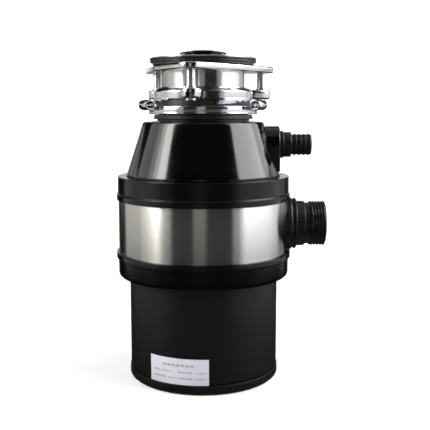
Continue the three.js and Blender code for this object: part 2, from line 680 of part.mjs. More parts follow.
function makeSinkFlange() {
  const inner = SLEEVE_R - SLEEVE_WALL;
  const sleeve = spun([
    [inner, 290], [SLEEVE_R, 290], [SLEEVE_R, 304.4], [43.2, 304.5], [43.2, 307], [SLEEVE_R, 307.1],
    [SLEEVE_R, 335.4], [46.5, RIM_LOW], [RIM_R, RIM_LOW], [RIM_R, 339.7], [55.4, 340.3], [48.4, 340.3],
    [inner, 335],
  ]);
  place("sink_flange", solid(sleeve), "chrome");
  const gasket = spun([
    [46.7, 332.8], [53.3, 332.8], [53.3, 335], [56.2, 335.3], [56.2, 338.8], [46.7, 338.8],
  ]);
  place("sink_gasket", solid(gasket), "rubber");
  const wire = solid(ring(43.5, 46.8, 304.8, 306.8));
  place("snap_ring", cut(wire, solid(atAzimuth(block([40, 50], [-4, 4], [300, 310]), 180))), "bright_steel");
}

function makeStopper() {
  const plug = spun([
    [0, 322], [12, 322], [12, 334], [38, 334], [41.4, 336.2], [41.4, 338.8], [38.4, 340.4],
    [19.4, 341.3], [19.4, 344.5], [25.2, 345], [25.2, 346], [17, 347.8], [0, 348.3],
  ]);
  place("stopper", solid(plug), "black_gloss");
  const seal = spun([[12.4, 331], [41.6, 331], [41.6, 333.7], [12.4, 333.7]]);
  place("stopper_seal", solid(seal), "rubber");
}

// ---- Assembly -------------------------------------------------------------------------------------

makeBase();
makeReset();
makeStator();
makeEndFrames();
makeRotor();
makeTurntable();
makeImpeller(1, 0);
makeImpeller(2, 180);
makeShredderRing();
makeDrainChamber();
makeDrainOutlet();
makeHopper();
makeDishwasherInlet();
makeTrim();
makeMountingGasket();
makeLockingRing();
makeMountingFlange();
makeSupportBolts();
makeClampPlate();
makeSinkFlange();
makeStopper();

export default disposal;
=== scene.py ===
"""Kitchen garbage disposal: fine visible surfaces round the CAD frame, with studio light and camera."""

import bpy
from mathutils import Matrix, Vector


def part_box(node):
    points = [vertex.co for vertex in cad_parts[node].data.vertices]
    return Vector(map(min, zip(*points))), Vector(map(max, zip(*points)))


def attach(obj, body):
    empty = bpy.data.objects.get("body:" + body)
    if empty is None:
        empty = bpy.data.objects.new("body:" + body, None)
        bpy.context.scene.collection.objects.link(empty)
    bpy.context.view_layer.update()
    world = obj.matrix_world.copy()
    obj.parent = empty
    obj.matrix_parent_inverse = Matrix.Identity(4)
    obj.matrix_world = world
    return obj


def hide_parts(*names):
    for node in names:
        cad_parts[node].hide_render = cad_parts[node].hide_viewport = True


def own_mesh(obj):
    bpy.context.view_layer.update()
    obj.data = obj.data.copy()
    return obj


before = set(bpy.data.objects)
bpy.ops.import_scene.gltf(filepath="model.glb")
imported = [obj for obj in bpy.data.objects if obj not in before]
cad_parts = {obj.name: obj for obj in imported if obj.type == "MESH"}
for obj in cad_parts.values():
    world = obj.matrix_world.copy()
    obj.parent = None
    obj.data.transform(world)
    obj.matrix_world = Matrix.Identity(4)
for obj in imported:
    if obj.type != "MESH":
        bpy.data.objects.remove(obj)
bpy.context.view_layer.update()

import math

import bmesh
import bpy
from mathutils import Matrix, Vector

MM = 0.001
SIDES = 144  # round the large shells
SPIGOT_SIDES = 96
SMOOTH_ANGLE = math.radians(32)

POST_AZIMUTHS = (-9.5, 110.5, -129.5)  # degrees from the front, positive towards +X
LUG_AZIMUTHS = (-60, 60, 180)
DIAGONALS = (45, 135, 225, 315)


# ---- Places from the frame, in millimetres ---------------------------------------------------------

def levels(node):
    low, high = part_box(node)
    return low.z / MM, high.z / MM


def reach(node):
    """Outer radius of a node that is round about the vertical axis."""
    low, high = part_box(node)
    return max(high.x, -low.x, high.y, -low.y) / MM


def along(node):
    """Span of a node along +X."""
    low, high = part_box(node)
    return low.x / MM, high.x / MM


def centre(node):
    low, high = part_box(node)
    return (low + high) / 2 / MM


# ---- Mesh helpers ------------------------------------------------------------------------------------

def rounded(outline, steps=4):
    """Outline points (r, z) or (r, z, corner radius), with each such corner turned into an arc."""
    points = []
    count = len(outline)
    for i, corner in enumerate(outline):
        here = Vector(corner[:2])
        radius = corner[2] if len(corner) > 2 else 0
        before = Vector(outline[i - 1][:2]) - here
        after = Vector(outline[(i + 1) % count][:2]) - here
        if radius <= 0 or before.length < 1e-6 or after.length < 1e-6:
            points.append(here)
            continue
        half = before.angle(after) / 2
        if half > math.radians(88):
            points.append(here)
            continue
        cut_back = min(radius / math.tan(half), 0.49 * before.length, 0.49 * after.length)
        start = here + before.normalized() * cut_back
        end = here + after.normalized() * cut_back
        for step in range(steps + 1):
            t = step / steps
            points.append(start.lerp(here, t).lerp(here.lerp(end, t), t))
    return [(p.x, p.y) for p in points]


def add_mesh(name, points, faces):
    mesh = bpy.data.meshes.new(name)
    mesh.from_pydata(points, [], faces)
    work = bmesh.new()
    work.from_mesh(mesh)
    bmesh.ops.remove_doubles(work, verts=work.verts, dist=1e-7)
    bmesh.ops.recalc_face_normals(work, faces=work.faces)
    work.to_mesh(mesh)
    work.free()
    piece = bpy.data.objects.new(name, mesh)
    bpy.context.scene.collection.objects.link(piece)
    return piece


def turned(name, outline, sides=SIDES, steps=4):
    """A millimetre outline turned about the vertical axis: closed, or with both ends on the axis."""
    profile = rounded(outline, steps)
    on_axis = profile[0][0] < 1e-6 and profile[-1][0] < 1e-6
    points = []
    rings = []
    for radius, height in profile:
        if radius < 1e-6:
            rings.append([len(points)] * sides)
            points.append((0, 0, height * MM))
            continue
        rings.append(list(range(len(points), len(points) + sides)))
        for side in range(sides):
            angle = 2 * math.pi * side / sides
            points.append((radius * math.cos(angle) * MM, radius * math.sin(angle) * MM, height * MM))
    pairs = list(zip(rings, rings[1:]))
    if not on_axis:
        pairs.append((rings[-1], rings[0]))
    faces = []
    for lower, upper in pairs:
        for side in range(sides):
            after = (side + 1) % sides
            corners = [lower[side], lower[after], upper[after], upper[side]]
            face = list(dict.fromkeys(corners))
            if len(face) > 2:
                faces.append(face)
    return add_mesh(name, points, faces)


def ring(name, inner, outer, low, top, edge=0.3, sides=SIDES):
    outline = [(inner, low, edge), (outer, low, edge), (outer, top, edge), (inner, top, edge)]
    return turned(name, outline, sides, 3)


def rod(name, radius, low, top, sides=48):
    return turned(name, [(0, low), (radius, low), (radius, top), (0, top)], sides)


def prism(name, outline, width):
    """A closed (x, z) outline in millimetres, extruded equally to both sides along y."""
    count = len(outline)
    points = [(x * MM, -width / 2 * MM, z * MM) for x, z in outline]
    points += [(x * MM, width / 2 * MM, z * MM) for x, z in outline]
    faces = [list(range(count)), list(range(2 * count - 1, count - 1, -1))]
    for i in range(count):
        after = (i + 1) % count
        faces.append([i, after, after + count, i + count])
    return add_mesh(name, points, faces)


def plate(name, outline, low, top):
    """A closed (x, y) outline in millimetres, extruded upwards."""
    piece = prism(name, outline, top - low)
    upright = Matrix.Rotation(-math.pi / 2, 4, "X")
    piece.data.transform(Matrix.Translation((0, 0, (low + top) / 2 * MM)) @ upright)
    return piece


def block(name, x, y, z):
    return plate(name, [(x[0], y[0]), (x[1], y[0]), (x[1], y[1]), (x[0], y[1])], *z)


def move(piece, x=0, y=0, z=0):
    piece.data.transform(Matrix.Translation((x * MM, y * MM, z * MM)))
    return piece


def along_x(piece, height):
    """Lays a piece made about the vertical axis along +X at a height."""
    return move(turn(piece, 90, "Y"), z=height)


def turn(piece, degrees, axis="Z"):
    piece.data.transform(Matrix.Rotation(math.radians(degrees), 4, axis))
    return piece


def at_azimuth(piece, degrees):
    """Swings a piece made towards +X round to an azimuth counted from the front."""
    return turn(piece, degrees - 90)


def apply_modifiers(piece):
    bpy.context.view_layer.update()
    graph = bpy.context.evaluated_depsgraph_get()
    made = bpy.data.meshes.new_from_object(piece.evaluated_get(graph), depsgraph=graph)
    piece.modifiers.clear()
    piece.data = made
    return piece


def carve(piece, *tools, operation="DIFFERENCE"):
    for tool in tools:
        modifier = piece.modifiers.new("carve", "BOOLEAN")
        modifier.operation = operation
        modifier.solver = "EXACT"
        modifier.object = tool
        apply_modifiers(piece)
        bpy.data.objects.remove(tool)
    return piece


def fuse(piece, *others):
    return carve(piece, *others, operation="UNION")


def soften(piece, width, segments=2, angle=30):
    """Rounds the sharp edges of a piece by a width in millimetres."""
    modifier = piece.modifiers.new("soften", "BEVEL")
    modifier.width = width * MM
    modifier.segments = segments
    modifier.limit_method = "ANGLE"
    modifier.angle_limit = math.radians(angle)
    modifier.use_clamp_overlap = True
    return apply_modifiers(piece)


def gather(name, pieces):
    """Several meshes as one object."""
    work = bmesh.new()
    for piece in pieces:
        work.from_mesh(piece.data)
        bpy.data.objects.remove(piece)
    mesh = bpy.data.meshes.new(name)
    work.to_mesh(mesh)
    work.free()
    whole = bpy.data.objects.new(name, mesh)
    bpy.context.scene.collection.objects.link(whole)
    return whole


def smooth(piece):
    piece.data.shade_smooth()
    piece.data.set_sharp_from_angle(angle=SMOOTH_ANGLE)


def dress(piece, body, material, slot, *nodes):
    """Gives a finished piece its material and its body, and hides the CAD nodes that it stands for. The
    slot is not used.
    """
    piece.data.materials.clear()
    piece.data.materials.append(MATERIALS[material])
    smooth(piece)
    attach(piece, body)
    if nodes:
        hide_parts(*nodes)
    return piece


# ---- Materials ---------------------------------------------------------------------------------------

class Recipe:
    """A material being built on a Principled shader."""

    def __init__(self, name, color, roughness, metallic=0.0, ior=1.5):
        self.material = bpy.data.materials.new(name)
        self.material.use_nodes = True
        self.tree = self.material.node_tree
        self.shader = self.tree.nodes["Principled BSDF"]
        self.color = (*color, 1)
        self.roughness = roughness
        self.set("Base Color", self.color)
        self.set("Roughness", roughness)
        self.set("Metallic", metallic)
        self.set("IOR", ior)
        self.normal = None
        place = self.node("ShaderNodeTexCoord")
        self.place = place.outputs["Object"]

    def node(self, kind, **settings):
        made = self.tree.nodes.new(kind)
        for key, value in settings.items():
            setattr(made, key, value)
        return made

    def set(self, socket, value):
        self.shader.inputs[socket].default_value = value

    def link(self, source, target):
        self.tree.links.new(source, target)

    def scaled(self, scale):
        """Object coordinates stretched by a factor along each axis."""
        mapping = self.node("ShaderNodeMapping")
        mapping.inputs["Scale"].default_value = scale
        self.link(self.place, mapping.inputs["Vector"])
        return mapping.outputs["Vector"]

    def noise(self, scale, detail=3.0, roughness=0.55, stretch=(1, 1, 1), distortion=0.0):
        made = self.node("ShaderNodeTexNoise")
        made.inputs["Scale"].default_value = scale
        made.inputs["Detail"].default_value = detail
        made.inputs["Roughness"].default_value = roughness
        made.inputs["Distortion"].default_value = distortion
        self.link(self.scaled(stretch), made.inputs["Vector"])
        return made.outputs["Fac"]

    def spread(self, source, low, high, start=0.3, end=0.7):
        made = self.node("ShaderNodeMapRange")
        made.inputs["From Min"].default_value = start
        made.inputs["From Max"].default_value = end
        made.inputs["To Min"].default_value = low
        made.inputs["To Max"].default_value = high
        self.link(source, made.inputs["Value"])
        return made.outputs["Result"]

    def vary_roughness(self, source, amount, start=0.3, end=0.7):
        low = self.roughness - amount
        high = self.roughness + amount
        varied = self.spread(source, max(0.02, low), high, start, end)
        self.link(varied, self.shader.inputs["Roughness"])
        return self

    def vary_color(self, source, other, start=0.3, end=0.7):
        mix = self.node("ShaderNodeMix", data_type="RGBA")
        self.link(self.spread(source, 0.0, 1.0, start, end), mix.inputs["Factor"])
        mix.inputs[6].default_value = self.color
        mix.inputs[7].default_value = (*other, 1)
        self.link(mix.outputs[2], self.shader.inputs["Base Color"])
        return self

    def bump(self, source, strength, distance):
        made = self.node("ShaderNodeBump")
        made.inputs["Strength"].default_value = strength
        made.inputs["Distance"].default_value = distance * MM
        self.link(source, made.inputs["Height"])
        if self.normal:
            self.link(self.normal, made.inputs["Normal"])
        self.normal = made.outputs["Normal"]
        self.link(self.normal, self.shader.inputs["Normal"])
        return self

    def brushed(self, amount, turn_by=0.25):
        """Highlights drawn out across grain that runs round the vertical axis."""
        self.set("Anisotropic", amount)
        self.set("Anisotropic Rotation", turn_by)
        tangent = self.node("ShaderNodeTangent", direction_type="RADIAL", axis="Z")
        self.link(tangent.outputs["Tangent"], self.shader.inputs["Tangent"])
        return self


def gloss_black():
    recipe = Recipe("gloss_black", (0.0010, 0.0010, 0.0013), 0.12, ior=1.5)
    recipe.vary_roughness(recipe.noise(40), 0.02)
    return recipe.bump(recipe.noise(900, 2), 0.05, 0.05).material


def collar_black():
    recipe = Recipe("collar_black", (0.0008, 0.0008, 0.0011), 0.2, ior=1.34)
    recipe.vary_roughness(recipe.noise(40), 0.03)
    return recipe.bump(recipe.noise(900, 2), 0.06, 0.05).material


def satin_black():
    recipe = Recipe("satin_black", (0.0040, 0.0040, 0.0045), 0.42, ior=1.33)
    recipe.vary_roughness(recipe.noise(25), 0.05)
    return recipe.bump(recipe.noise(1400, 2), 0.12, 0.06).material


def matt_black():
    recipe = Recipe("matt_black", (0.013, 0.013, 0.014), 0.5)
    recipe.vary_color(recipe.noise(60), (0.02, 0.02, 0.021))
    return recipe.bump(recipe.noise(1600, 3), 0.2, 0.08).material


def moulded_black():
    recipe = Recipe("moulded_black", (0.0045, 0.0045, 0.0055), 0.3, ior=1.38)
    recipe.vary_roughness(recipe.noise(55), 0.05)
    return recipe.bump(recipe.noise(1100, 2), 0.1, 0.05).material


def black_rubber():
    recipe = Recipe("black_rubber", (0.008, 0.008, 0.009), 0.38, ior=1.52)
    recipe.vary_roughness(recipe.noise(80), 0.08)
    return recipe.bump(recipe.noise(1500, 3), 0.15, 0.07).material


def brushed_band():
    recipe = Recipe("brushed_band", (0.60, 0.59, 0.565), 0.26, metallic=1.0)
    grain = recipe.noise(14, 4, 0.7, stretch=(1, 1, 260))
    recipe.vary_color(grain, (0.57, 0.56, 0.54))
    recipe.vary_roughness(grain, 0.01)
    recipe.brushed(1.0)
    return recipe.bump(recipe.noise(16, 2, 0.6, stretch=(1, 1, 220)), 0.006, 0.005).material


def brushed_sleeve():
    recipe = Recipe("brushed_sleeve", (0.54, 0.535, 0.52), 0.22, metallic=1.0)
    grain = recipe.noise(20, 4, 0.7, stretch=(1, 1, 200))
    recipe.vary_color(grain, (0.50, 0.495, 0.48))
    recipe.brushed(0.9)
    return recipe.bump(recipe.noise(20, 2, 0.6, stretch=(1, 1, 180)), 0.02, 0.01).material


def polished_chrome():
    recipe = Recipe("polished_chrome", (0.60, 0.61, 0.63), 0.14, metallic=1.0)
    recipe.vary_roughness(recipe.noise(60), 0.03)
    return recipe.bump(recipe.noise(70, 2), 0.03, 0.2).material


def bright_steel():
    recipe = Recipe("bright_steel", (0.62, 0.62, 0.63), 0.3, metallic=1.0)
    recipe.vary_roughness(recipe.noise(70), 0.08)
    recipe.vary_color(recipe.noise(35, 5), (0.48, 0.48, 0.49))
    return recipe.bump(recipe.noise(500, 3), 0.1, 0.05).material


def cast_alloy():
    recipe = Recipe("cast_alloy", (0.42, 0.42, 0.43), 0.5, metallic=0.9)
    recipe.vary_color(recipe.noise(90, 5), (0.34, 0.34, 0.35))
    return recipe.bump(recipe.noise(700, 4), 0.35, 0.2).material


def laminations():
    recipe = Recipe("laminations", (0.26, 0.27, 0.28), 0.42, metallic=0.9)
    stack = recipe.node("ShaderNodeTexWave", wave_type="BANDS", bands_direction="Z")
    stack.inputs["Scale"].default_value = 320
    recipe.link(recipe.place, stack.inputs["Vector"])
    recipe.vary_color(stack.outputs["Fac"], (0.16, 0.16, 0.17), 0, 1)
    return recipe.bump(stack.outputs["Fac"], 0.5, 0.15).material


def copper_wire():
    recipe = Recipe("copper_wire", (0.55, 0.22, 0.08), 0.3, metallic=0.9)
    strands = recipe.node("ShaderNodeTexWave", wave_type="RINGS", rings_direction="Z")
    strands.inputs["Scale"].default_value = 260
    strands.inputs["Distortion"].default_value = 2
    recipe.link(recipe.place, strands.inputs["Vector"])
    recipe.vary_color(strands.outputs["Fac"], (0.36, 0.12, 0.04), 0, 1)
    return recipe.bump(strands.outputs["Fac"], 0.6, 0.3).material


def red_plastic():
    recipe = Recipe("red_plastic", (0.52, 0.02, 0.012), 0.35)
    recipe.vary_roughness(recipe.noise(90), 0.06)
    return recipe.bump(recipe.noise(1300, 2), 0.1, 0.05).material


def silver_foil():
    recipe = Recipe("silver_foil", (0.62, 0.62, 0.68), 0.4, metallic=0.15)
    recipe.vary_color(recipe.noise(45, 3), (0.56, 0.56, 0.62))
    return recipe.bump(recipe.noise(800, 2), 0.06, 0.03).material


def grey_ink():
    recipe = Recipe("grey_ink", (0.27, 0.27, 0.30), 0.5)
    recipe.vary_color(recipe.noise(300, 2), (0.34, 0.34, 0.37))
    return recipe.bump(recipe.noise(900, 2), 0.05, 0.02).material


MATERIALS = {
    make.__name__: make()
    for make in (
        gloss_black, collar_black, satin_black, matt_black, moulded_black, black_rubber,
        brushed_band, brushed_sleeve, polished_chrome, bright_steel, cast_alloy, laminations,
        copper_wire, red_plastic, silver_foil, grey_ink,
    )
}


# ---- Base and motor can ------------------------------------------------------------------------------

BASE_R = reach("base_cap")
BASE_TOP = levels("base_cap")[1]
CAN_R = reach("motor_can")
CAN_LOW, CAN_TOP = levels("motor_can")
FLOOR_LOW = 4
FLOOR_TOP = 7


def make_base():
    dish = turned("base_dish", [
        (9.3, 0, 0.4), (15, 0, 0.6), (15, FLOOR_LOW, 0.6), (72, FLOOR_LOW, 0.8), (74, 0, 0.8),
        (79, 0, 1), (BASE_R, 2, 1.6), (BASE_R, BASE_TOP, 0.5), (78.3, BASE_TOP, 0.3),
        (78.3, FLOOR_TOP, 0.5), (9.3, FLOOR_TOP, 0.3),
    ])
    reset = centre("reset_button")
    gland = centre("cord_gland")
    cover = centre("terminal_cover")
    holes = [
        move(rod("hole", 6, 0, 12), reset.x, reset.y),
        move(rod("hole", 11.3, 0, 12), gland.x, gland.y),
        block("hole", (cover.x - 13, cover.x + 13), (cover.y - 9, cover.y + 9), (1, 12)),
    ]
    for degrees in range(0, 360, 30):
        slot = block("hole", (63, 69), (-2, 2), (1, 12))
        if degrees % 90:
            holes.append(at_azimuth(slot, degrees))
        else:
            bpy.data.objects.remove(slot)
    dress(carve(dish, *holes), "housing", "satin_black", "black_satin", "base_cap")

    plug = turned("wrench_plug", [
        (0, 0), (3, 0, 0.3), (3.4, 0.8, 0.3), (6.4, 0.8, 0.3), (6.8, 0, 0.3), (9, 0, 0.5), (9, 7.3),
        (10.6, 7.3, 0.4), (10.6, 8.6, 0.5), (0, 8.6),
    ], 64)
    dress(plug, "housing", "black_rubber", "rubber", "wrench_port_plug")
    bush = turned("cord_bush", [
        (7, 1.2, 0.6), (11, 1.2, 0.8), (11, 7.3), (14, 7.3, 0.5), (14, 9.4, 0.6), (11, 9.4),
        (11, 14, 0.8), (7, 14, 0.6),
    ], 64)
    dress(move(bush, gland.x, gland.y), "housing", "black_rubber", "rubber", "cord_gland")


def make_reset():
    spot = centre("reset_button")
    low, top = levels("reset_button")
    button = turned("reset_cap", [
        (0, low + 0.5), (2.4, low + 0.5, 0.4), (3.2, low, 0.4), (5.5, low, 0.8), (5.5, 7.3),
        (7.4, 7.3, 0.3), (7.4, 8.6, 0.3), (2.6, 8.6), (2.6, top, 0.5), (0, top),
    ], 48)
    dress(move(button, spot.x, spot.y), "reset", "red_plastic", "red", "reset_button")


WIRE_R = 0.4
COIL_R = 4.6
COIL_TURNS = 3
COIL_ROWS_PER_TURN = 40
WIRE_SIDES = 12


def make_reset_spring():
    """A coil of round wire between the button's shoulder and the cut-out, made as a fixed coil that
    pressing the button does not close up.
    """
    low, top = levels("reset_spring")
    rows = COIL_ROWS_PER_TURN * COIL_TURNS
    sides = WIRE_SIDES
    points = []
    for row in range(rows + 1):
        angle = 2 * math.pi * COIL_TURNS * row / rows
        height = low + WIRE_R + (top - low - 2 * WIRE_R) * row / rows
        for side in range(sides):
            around = 2 * math.pi * side / sides
            r = COIL_R + WIRE_R * math.cos(around)
            z = height + WIRE_R * math.sin(around)
            points.append((r * math.cos(angle) * MM, r * math.sin(angle) * MM, z * MM))
    faces = [list(range(sides)), list(range(rows * sides, (rows + 1) * sides))]
    for row in range(rows):
        this = row * sides
        that = this + sides
        for side in range(sides):
            after = (side + 1) % sides
            faces.append([this + side, this + after, that + after, that + side])
    spot = centre("reset_spring")
    coil = move(add_mesh("reset_coil", points, faces), spot.x, spot.y)
    dress(coil, "housing", "bright_steel", "bright_steel", "reset_spring")
    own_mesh(coil)


def make_can():
    seam = 2.0  # drawn-in foot at the bottom of the can, over the base
    can = turned("can_shell", [
        (CAN_R - 1.4, CAN_LOW), (CAN_R - 0.6, CAN_LOW, 0.4), (CAN_R, CAN_LOW + seam, 0.6),
        (CAN_R, CAN_TOP, 0.4), (CAN_R - 1.4, CAN_TOP),
    ])
    dress(can, "housing", "satin_black", "black_satin", "motor_can")


LABEL_FROM = -41.6
LABEL_TO = 4.6


def sector(name, inner, outer, start, end, low, top, step=1.5, slope=0.0):
    """A curved wall between two azimuths. Its lower edge rises by slope from start to end."""
    count = max(2, round((end - start) / step))
    points = []
    for i in range(count + 1):
        t = i / count
        angle = math.radians(start + (end - start) * t - 90)
        foot = low + slope * t
        for radius, height in ((inner, foot), (outer, foot), (outer, top), (inner, top)):
            points.append((radius * math.cos(angle) * MM, radius * math.sin(angle) * MM, height * MM))
    faces = [[0, 1, 2, 3], [4 * count + k for k in (3, 2, 1, 0)]]
    for i in range(count):
        for k in range(4):
            after = (k + 1) % 4
            faces.append([4 * i + k, 4 * i + after, 4 * i + 4 + after, 4 * i + 4 + k])
    return add_mesh(name, points, faces)


# Rows of plain marks on the label: azimuth, count, width, pitch, height, mark height
MARKS = [
    (-30, 7, 2.6, 3.5, 29.6, 2.4), (-38, 2, 2.1, 2.7, 23.0, 1.6), (-31, 4, 1.4, 1.9, 23.2, 1.2),
    (-17.8, 4, 2.1, 2.8, 23.0, 1.6), (-4.2, 4, 1.4, 1.9, 23.2, 1.2), (-38, 4, 2.1, 2.7, 16.6, 1.6),
    (-26, 4, 1.4, 1.8, 16.8, 1.2), (-17.8, 4, 2.1, 2.8, 16.6, 1.6), (-4.2, 4, 1.4, 1.9, 16.8, 1.2),
]


def make_label():
    low, top = levels("rating_label")
    face = reach("motor_can") + 0.5
    foil = soften(sector("label_foil", CAN_R + 0.15, face, LABEL_FROM, LABEL_TO, low, top), 0.15)
    dress(foil, "housing", "silver_foil", "label", "rating_label")
    bars = []
    for first, count, width, pitch, height, tall in MARKS:
        for i in range(count):
            start = first + pitch * i
            end = start + width
            bars.append(sector("mark", face - 0.05, face + 0.06, start, end, height, height + tall))
    dress(gather("label_rules", bars), "housing", "grey_ink", "label")


# ---- Collars, band and drain pad ---------------------------------------------------------------------

DRAIN_Z = centre("drain_outlet").z
PAD_END = along("drain_chamber")[1]
PAD_R = 29
SCREW_CIRCLE = 85.2
SCREW_HOLE_R = 2.1


def pad_hole(clearance=0.6):
    return along_x(rod("hole", PAD_R + clearance, 70, 100, 96), DRAIN_Z)


def screw_holes(low, top):
    """Cutters for the four screws that hold the hopper on the drain chamber."""
    holes = [move(rod("hole", SCREW_HOLE_R, low, top, 24), SCREW_CIRCLE) for _ in DIAGONALS]
    return [at_azimuth(hole, degrees) for hole, degrees in zip(holes, DIAGONALS)]


def make_lower_collar():
    low, top = levels("lower_collar")
    lip = reach("lower_collar")
    wall = lip - 2
    inner = reach("trim_band") + 0.3
    collar = turned("lower_collar_moulding", [
        (80.5, low, 0.4), (wall, low, 4.2), (wall, 129.6, 0.5), (lip, 130.4, 0.6), (lip, top, 1.1),
        (inner, top, 0.5), (inner, 131), (88.6, 131), (88.6, low + 3, 2), (80.5, low + 3),
    ], steps=6)
    carve(collar, pad_hole())
    dress(collar, "housing", "collar_black", "black_gloss", "lower_collar")


def make_band():
    low, top = levels("trim_band")
    outer = reach("trim_band")
    band = carve(ring("steel_band", outer - 1, outer, low, top, 0.15), pad_hole(0.5))
    dress(band, "housing", "brushed_band", "brushed_steel", "trim_band")


def make_upper_collar():
    low, top = levels("upper_collar")
    lip = reach("upper_collar")
    wall = reach("trim_band") + 0.3
    collar = turned("upper_collar_moulding", [
        (wall, low, 0.3), (lip, low, 1.0), (lip, low + 6, 0.8), (wall + 0.2, low + 7.2, 0.6),
        (wall, top - 2, 1), (wall, top, 3.0), (82.6, top, 0.8), (82.6, top - 2.3),
        (88.7, top - 3.3), (88.7, 199.5), (wall, 199.5),
    ], steps=6)
    carve(collar, pad_hole())
    dress(collar, "housing", "collar_black", "black_gloss", "upper_collar")


def make_drain_chamber():
    low, top = levels("drain_chamber")
    wall = turned("chamber_wall", [
        (75, low), (80, low), (80, 182, 1), (88, 185, 0.5), (88, top, 0.4), (75, top),
    ], 96)
    pad = turned("pad", [
        (0, 82), (PAD_R, 82), (PAD_R, PAD_END - 1.6, 1.0), (PAD_R - 1.6, PAD_END, 0.8),
        (23, PAD_END, 0.5), (22, PAD_END - 0.8, 0.4), (0, PAD_END - 0.8),
    ], 96)
    carve(wall, along_x(rod("hole", PAD_R + 0.4, 80.4, 100, 96), DRAIN_Z))
    neck = along_x(rod("neck", 23.3, 72, 83, 96), DRAIN_Z)
    chamber = fuse(wall, neck, along_x(pad, DRAIN_Z))
    tools = [along_x(rod("hole", 21, 60, 100, 96), DRAIN_Z)]
    tools += screw_holes(180, 195)
    dress(carve(chamber, *tools), "housing", "moulded_black", "black_matte", "drain_chamber")


def helical_thread(name, radius, depth, pitch, start, end, sides=72):
    """A closed sleeve with a helical groove cut round it, about the vertical axis."""
    bore = radius - 4
    rows = round((end - start) / pitch * 12)
    points = []
    for row in range(rows + 1):
        height = start + (end - start) * row / rows
        fade = min(1, 4 * row / rows, 4 * (rows - row) / rows)
        for side in range(sides):
            turn_part = side / sides
            wave = (height / pitch - turn_part) % 1
            tooth = 1 - abs(2 * wave - 1)
            flat = min(1, max(0, (tooth - 0.2) / 0.45))
            r = radius - depth * (1 - flat) * (0.35 + 0.65 * fade)
            angle = 2 * math.pi * turn_part
            points.append((r * math.cos(angle) * MM, r * math.sin(angle) * MM, height * MM))
    for height in (end, start):
        for side in range(sides):
            angle = 2 * math.pi * side / sides
            points.append((bore * math.cos(angle) * MM, bore * math.sin(angle) * MM, height * MM))
    faces = []
    count = rows + 3
    for row in range(count):
        this = row * sides
        that = (row + 1) % count * sides
        for side in range(sides):
            after = (side + 1) % sides
            faces.append([this + side, this + after, that + after, that + side])
    return add_mesh(name, points, faces)


def make_drain_outlet():
    start, end = along("drain_outlet")
    spigot = turned("spigot", [
        (17.5, start, 0.5), (20.6, start, 0.5), (20.6, 96.9), (27.5, 96.9, 0.9), (27.5, 99.7, 1.2),
        (24.4, 99.7, 0.4), (24.2, 108.4, 0.9), (22.3, 109, 0.3), (22.3, 114.2, 0.3), (22.9, 114.6),
        (22.9, end - 1, 0.4), (22.3, end, 0.3), (17.5, end, 0.6),
    ], SPIGOT_SIDES)
    thread = helical_thread("thread", 23.9, 0.9, 3.2, 114.2, end - 0.6, SPIGOT_SIDES)
    pieces = [along_x(spigot, DRAIN_Z), along_x(thread, DRAIN_Z)]
    for side in (-1, 1):
        lug = block("grip", (100, 107.6), (-3, 3), (0, 1.1))
        pieces.append(turn_about_x(move(soften(lug, 0.3), z=23.7), 90 * side, DRAIN_Z))
    dress(gather("drain_spigot", pieces), "housing", "moulded_black", "black_gloss", "drain_outlet")
    gasket = along_x(ring("outlet_washer", 21.4, 26.4, 95.3, 96.6, 0.4, SPIGOT_SIDES), DRAIN_Z)
    dress(gasket, "housing", "black_rubber", "rubber", "outlet_gasket")


def turn_about_x(piece, degrees, height):
    return move(turn(piece, degrees, "X"), z=height)


# ---- Hopper and dishwasher inlet ---------------------------------------------------------------------

INLET_Z = centre("dishwasher_inlet").z
INLET_SIDES = 72
BOSS_END = along("inlet_seal")[1]
BOSS_R = 19.6
HOPPER_LOW, HOPPER_TOP = levels("hopper_shell")


def make_hopper():
    top = HOPPER_TOP
    shell = turned("hopper_cone", [
        (76.6, HOPPER_LOW), (88, HOPPER_LOW, 0.3), (88, 195, 0.3), (81.5, 195), (81.5, 213.5),
        (82, 214.5), (82, 219.2, 3), (66.3, 267.4, 6), (64.2, top, 3.2), (57, top, 0.6),
        (56.4, top - 0.5, 0.6), (47, top - 0.5, 0.6), (47, top - 3, 0.6), (59, top - 3, 2),
        (62.4, 269, 2), (77.7, 222, 2), (73.6, 215.6), (73.6, 213.6), (76.6, 213.6),
    ], steps=6)
    boss = turned("boss", [(0, 52), (BOSS_R, 52), (BOSS_R, BOSS_END, 1.6), (0, BOSS_END)], INLET_SIDES)
    along_x(boss, INLET_Z)
    foot = block("foot", (52, BOSS_END), (-BOSS_R + 0.1, BOSS_R - 0.1), (222, INLET_Z))
    soften(foot, 1.2, 3)
    hollow = turned("hollow", [(0, 216), (77.6, 222), (62.3, 269), (59, 271.4), (0, 271.4)])
    swell = carve(fuse(boss, foot), hollow)
    fuse(shell, swell)
    tools = [
        along_x(rod("hole", 7.5, 40, 90, 48), INLET_Z),
        along_x(rod("hole", 11.3, along("dishwasher_inlet")[0] - 0.4, 90, 48), INLET_Z),
        along_x(rod("hole", 13.6, 79.2, 90, 48), INLET_Z),
        along_x(rod("hole", PAD_R + 0.6, 81.8, 100, 96), DRAIN_Z),
    ]
    tools += screw_holes(188, 197)
    carve(shell, *tools)
    dress(shell, "housing", "gloss_black", "black_gloss", "hopper_shell")


